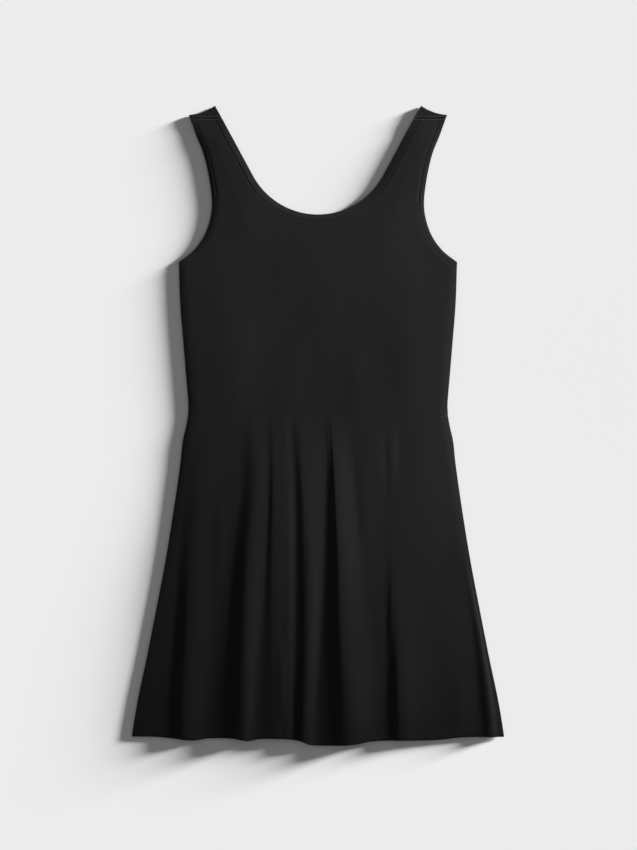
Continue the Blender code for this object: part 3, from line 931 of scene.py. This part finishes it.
def skirt_rows(is_front):
    """A skirt panel from the waist to the hem, with its cloth map."""
    folds = front_folds if is_front else back_folds
    height_at = front_height if is_front else back_height
    shares = folds.columns(FOLD_STEP, FEWEST_FOLD_COLUMNS)
    waist = WAIST_HEIGHT - SEAM_GAP / 2
    hems = []
    for share in shares:
        hem_x = folds.place(share, 0.0)
        hems.append(table_value(HEM, hem_x) + (0.0 if is_front else BACK_HEM_RISE))
    rows = []
    cloth = []
    widest = 0.0
    near_waist = [row / waist for row in SEAM_ROWS]
    drops = [0.0, *near_waist, *(step / SKIRT_ROWS for step in range(1, SKIRT_ROWS + 1))]
    for drop in drops:
        row = []
        for share, hem in zip(shares, hems):
            height = between(waist, hem, drop)
            x = folds.place(share, height)
            row.append((x, height, height_at(x, height)))
        rows.append(row)
        lengths = run_lengths(row)
        widest = max(widest, lengths[-1])
        cloth.append([(length - lengths[-1] / 2, point[1]) for length, point in zip(lengths, row)])
    print("widest row of the skirt in mm, measured along the cloth:", round(widest, 1))
    return [(rows, cloth)]


# %% [markdown]
# ## The ten pieces
# Each piece is sewn from its rows and stands in for the imported solid of the same name, which stays in
# the physics model, hidden.

# %% Make the ten pieces
sheets = {}
areas = {}
for side, is_front in (("front", True), ("back", False)):
    made = {
        f"{side}_bodice": (halves(panel_rows(is_front), is_front, False), jersey, "jersey"),
        f"{side}_skirt": (skirt_rows(is_front), jersey, "jersey"),
        f"{side}_neck_band": (halves(neck_band_rows(is_front), is_front, True), banding, "band"),
    }
    right, left = halves(arm_band_rows(is_front), is_front, True)
    made[f"{side}_right_arm_band"] = ([right], banding, "band")
    made[f"{side}_left_arm_band"] = ([left], banding, "band")
    for node, (grids, material, slot) in made.items():
        sheets[node], areas[node] = sewn_sheet(f"{node}_cloth", grids, material, slot)
        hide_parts(node)

# %% [markdown]
# ## Stitching
# The dress is joined with hidden seams, and its bands and hem are held by visible rows of short
# stitches. One stitch is modelled as a small bead, drawn out and with its ends dipping into the cloth.
# It is then copied along each row, lying on the slope of the cloth under it.

# %% One stitch and a helper that sews rows
STITCH = 2.4
STITCH_SPACE = 0.9
STITCH_DIP = 1.1
THREAD_RADIUS = 0.2
SPOTS_A_STITCH = 8
SPOTS_OF_THREAD = 6
SLOPE_STEP = 0.5

start_fresh()
bpy.ops.mesh.primitive_uv_sphere_add(segments=6, ring_count=5, radius=1.0, location=(0.0, 0.0, 0.0))
bead = bpy.context.object
bpy.ops.object.mode_set(mode="EDIT")
bpy.ops.mesh.select_all(action="SELECT")
bpy.ops.transform.rotate(value=math.pi / 2, orient_axis="Y", center_override=(0.0, 0.0, 0.0))
bpy.ops.transform.resize(value=(0.5, 1.0, 1.0))
bpy.ops.object.mode_set(mode="OBJECT")
stitch_points = numpy.array([tuple(point.co) for point in bead.data.vertices])
stitch_points[:, 2] -= STITCH_DIP * (2.0 * stitch_points[:, 0]) ** 4
stitch_faces = [tuple(face.vertices) for face in bead.data.polygons]
bpy.data.objects.remove(bead, do_unlink=True)
print("points in one stitch:", len(stitch_points), "faces:", len(stitch_faces))


def upright(x, height, height_at):
    """A point on the upper face of the cloth and the way out of it."""
    step = SLOPE_STEP
    slope_x = (height_at(x + step, height) - height_at(x - step, height)) / (2 * step)
    slope_y = (height_at(x, height + step) - height_at(x, height - step)) / (2 * step)
    out = Vector((-slope_x, -slope_y, 1.0)).normalized()
    return Vector((x, height, height_at(x, height))) + out * (CLOTH / 2), out


def sewn_rows(name, paths, height_at, material):
    """Rows of stitches along plan paths, joined into one named piece."""
    points = []
    faces = []
    for path in paths:
        length = sum((end - start).length for start, end in zip(path, path[1:]))
        count = max(1, int(length / (STITCH + STITCH_SPACE)))
        spots = resampled(path, count * SPOTS_A_STITCH)
        for number in range(count):
            first = number * SPOTS_A_STITCH
            start, out_start = upright(*spots[first], height_at)
            end, out_end = upright(*spots[first + SPOTS_OF_THREAD], height_at)
            along = end - start
            out = (out_start + out_end).normalized()
            side = out.cross(along).normalized()
            middle = (start + end) / 2 + out * (THREAD_RADIUS * 0.5)
            turned = numpy.array([along, side * THREAD_RADIUS, out * THREAD_RADIUS])
            placed = stitch_points @ turned + numpy.array(middle)
            placed_before = sum(len(block) for block in points)
            points.append(placed)
            faces += [tuple(corner + placed_before for corner in face) for face in stitch_faces]
    every = numpy.concatenate(points)
    every[:, 1] -= LENGTH / 2
    mesh = bpy.data.meshes.new(name)
    mesh.from_pydata((every * MM).tolist(), [], faces)
    mesh.shade_smooth()
    mesh.materials.append(material)
    piece = bpy.data.objects.new(name, mesh)
    bpy.context.scene.collection.objects.link(piece)
    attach(piece, "root")
    print(f"{name}: {len(points)} stitches")
    return piece


# %% [markdown]
# ## Rows on the bands, the shoulders and the hem
# The neck and armhole bands are held by one row near their inner edge, as dark as the cloth. The hem
# has the two close rows of a twin needle, about 20 mm above the edge. The shoulder seam shows a row of
# lighter stitches on either side of it.

# %% Sew the rows
BAND_ROW = 1.5
SHOULDER_ROW = 1.8
ROW_END = 1.2
HEM_ROWS = (19.0, 22.5)
HEM_STEP = 3.0
HEM_ROW_END = 1.5


def both_sides(line):
    return [line, [Vector((-point.x, point.y)) for point in line]]


def hem_paths(is_front):
    """Plan paths a set way above the hem, across the whole skirt."""
    paths = []
    for above in HEM_ROWS:
        path = []
        count = int(2 * SKIRT_SIDE[0].value / HEM_STEP)
        for step in range(count + 1):
            share = step / count
            guess = between(-SKIRT_SIDE[0].value, SKIRT_SIDE[0].value, share)
            height = table_value(HEM, guess) + above + (0.0 if is_front else BACK_HEM_RISE)
            side = table_value(SKIRT_SIDE, height) - HEM_ROW_END
            path.append(Vector((between(-side, side, share), height)))
        paths.append(path)
    return paths


neck_row, _ = inner_lines(True, NECK_BAND - BAND_ROW, ARM_BAND)
_, arm_row = inner_lines(True, NECK_BAND, ARM_BAND - BAND_ROW)
from_edge = Vector((ROW_END, 0.0))
shoulder_rows = []
for shoulder_height in (SHOULDER_SEAM_HEIGHT - SHOULDER_ROW, SHOULDER_SEAM_HEIGHT + SHOULDER_ROW):
    at_neck = cut_at_height(neckline(), shoulder_height)[-1] + from_edge
    at_arm = cut_at_height(armhole(), shoulder_height)[-1] - from_edge
    shoulder_rows += both_sides([at_neck, at_arm])
stitching = [
    sewn_rows("neck_stitches", both_sides(neck_row), front_height, thread),
    sewn_rows("armhole_stitches", both_sides(arm_row[1:]), front_height, thread),
    sewn_rows("front_hem_stitches", hem_paths(True), front_height, thread),
    sewn_rows("back_hem_stitches", hem_paths(False), back_height, thread),
    sewn_rows("shoulder_stitches", shoulder_rows, front_height, shoulder_thread),
]

# %% [markdown]
# ## Flat sizes
# Each piece of cloth was cut flat before it was sewn.

NARROWEST_CUT = 0.010
Cut = namedtuple("Cut", "width length rests_on")
CUTS = {
    "front_bodice": Cut(0.366, 0.394, ("back_bodice_cloth",)),
    "back_bodice": Cut(0.366, 0.410, ()),
    "front_skirt": Cut(0.500, 0.434, ("back_skirt_cloth",)),
    "back_skirt": Cut(0.492, 0.431, ()),
    "front_neck_band": Cut(NARROWEST_CUT, 0.430, ("back_neck_band_cloth", "back_bodice_cloth")),
    "back_neck_band": Cut(NARROWEST_CUT, 0.470, ()),
    "front_right_arm_band": Cut(NARROWEST_CUT, 0.213, ("back_right_arm_band_cloth",)),
    "front_left_arm_band": Cut(NARROWEST_CUT, 0.213, ("back_left_arm_band_cloth",)),
    "back_right_arm_band": Cut(NARROWEST_CUT, 0.235, ()),
    "back_left_arm_band": Cut(NARROWEST_CUT, 0.235, ()),
}
for node, cut in CUTS.items():
    print(node, "area", round(areas[node], 5), "of", round(cut.width * cut.length, 5))

# %% [markdown]
# ## Table, light and backdrop
# The photograph has a near-white table and soft light from the upper right. The wide soft shadow on the
# lower left needs a low, broad light, while the black cloth looks best in a higher one. Light linking
# lets each light shine on its own things: one sun lights only the table, and a large soft lamp lights
# only the dress. A pale world fills the shadows.

# %% Table and lights
TABLE_SIZE = 12.0
TABLE_DROP = 0.0003
ROOM_STRENGTH = 0.19

start_fresh()
bpy.ops.mesh.primitive_plane_add(size=TABLE_SIZE, location=(0.0, 0.0, -TABLE_DROP))
floor = bpy.context.object
floor.name = "pale table"
floor_material, wiring = finish_material("pale table")
place = wiring.nodes.new("ShaderNodeTexCoord").outputs["Object"]
tone = wiring.blended(wiring.noise(place, 1.5, 1.0), (0.80, 0.80, 0.80, 1.0), (0.82, 0.82, 0.82, 1.0))
wiring.links.new(tone, wiring.shader.inputs["Base Color"])
wiring.shader.inputs["Roughness"].default_value = 0.9
wiring.shader.inputs["Specular IOR Level"].default_value = 0.1
floor.data.materials.append(floor_material)
floor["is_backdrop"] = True

scene = bpy.context.scene
scene.view_settings.view_transform = "Standard"
world = bpy.data.worlds.new("pale room")
world.use_nodes = True
world.node_tree.nodes["Background"].inputs["Color"].default_value = (1.0, 1.0, 1.0, 1.0)
world.node_tree.nodes["Background"].inputs["Strength"].default_value = ROOM_STRENGTH
scene.world = world


def group_of(name, things):
    group = bpy.data.collections.new(name)
    for thing in things:
        group.objects.link(thing)
    return group


dress = [*sheets.values(), *stitching]


TABLE_LIGHT_HEIGHT = math.radians(6.4)
TABLE_LIGHT_WIDTH = math.radians(9.2)
TABLE_LIGHT_STRENGTH = 24.0
LIGHT_FROM = Vector((1.0, 0.4)).normalized()

bpy.ops.object.light_add(type="SUN", location=(1.0, 1.0, 1.0))
table_light = bpy.context.object
table_light.name = "low light on the table"
table_light.data.energy = TABLE_LIGHT_STRENGTH
table_light.data.angle = TABLE_LIGHT_WIDTH
flat_way = LIGHT_FROM * math.cos(TABLE_LIGHT_HEIGHT)
way_to_light = Vector((*flat_way, math.sin(TABLE_LIGHT_HEIGHT)))
table_light.rotation_euler = way_to_light.to_track_quat("Z", "Y").to_euler()
table_light.light_linking.receiver_collection = group_of("lit by the low light", [floor])
table_light.light_linking.blocker_collection = group_of("shadows on the table", dress)

DRESS_LIGHT_PLACE = (2.2, 1.4, 0.78)
DRESS_LIGHT_SIZE = 0.6
DRESS_LIGHT_POWER = 190.0

bpy.ops.object.light_add(type="AREA", location=DRESS_LIGHT_PLACE)
dress_light = bpy.context.object
dress_light.name = "soft lamp on the dress"
dress_light.data.shape = "DISK"
dress_light.data.size = DRESS_LIGHT_SIZE
dress_light.data.energy = DRESS_LIGHT_POWER
dress_light.rotation_euler = Vector(DRESS_LIGHT_PLACE).to_track_quat("Z", "Y").to_euler()
dress_light.light_linking.receiver_collection = group_of("lit by the soft lamp", dress)
print("lights:", table_light.name, "and", dress_light.name)

# %% [markdown]
# A photographer keeps some of the light off the hem with a dark card, called a flag. Its shadow has a
# wide soft edge, because the lamp is large. The edge of the card is worked out backwards, from the line
# on the table where half of the lamp should be hidden.

# %% A card that shades the hem
CARD_PLACE = 0.77
CARD_DEPTH = 0.5
HALF_SHADE_LEFT = Vector((-0.3, -0.415, 0.0))
HALF_SHADE_RIGHT = Vector((0.3, -0.515, 0.0))
CARD_SPARE = 0.8

lamp_middle = Vector(DRESS_LIGHT_PLACE)
card_edge = []
for spot in (HALF_SHADE_LEFT, HALF_SHADE_RIGHT):
    card_edge.append(lamp_middle.lerp(spot, (lamp_middle.x - CARD_PLACE) / (lamp_middle.x - spot.x)))
far_left = card_edge[1].lerp(card_edge[0], 1.0 + CARD_SPARE)
far_right = card_edge[0].lerp(card_edge[1], 1.0 + CARD_SPARE)
start_fresh()
bpy.ops.mesh.primitive_plane_add(size=1.0, location=(0.0, 0.0, 0.0))
card = bpy.context.object
card.name = "dark card beside the lamp"
sideways = Vector((0.0, -CARD_DEPTH, 0.0))
for face_corner, spot in zip(
    card.data.polygons[0].vertices, (far_left, far_right, far_right + sideways, far_left + sideways)
):
    card.data.vertices[face_corner].co = spot
card_material, wiring = finish_material("dark card")
place = wiring.nodes.new("ShaderNodeTexCoord").outputs["Object"]
tone = wiring.blended(wiring.noise(place, 40.0, 2.0), (0.01, 0.01, 0.01, 1.0), (0.015, 0.015, 0.015, 1.0))
wiring.links.new(tone, wiring.shader.inputs["Base Color"])
card.data.materials.append(card_material)
card.visible_camera = False
card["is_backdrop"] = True
print("card edge in metres:", [[round(part, 3) for part in spot] for spot in card_edge])

# %% Sizes and finish
dress_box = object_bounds()
for corner, (was, now) in zip(("low", "high"), zip(cad_box, dress_box)):
    print(corner, "corner moved in mm:", [round((b - a) / MM, 2) for a, b in zip(was, now)])

for node, cut in CUTS.items():
    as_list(cut.rests_on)
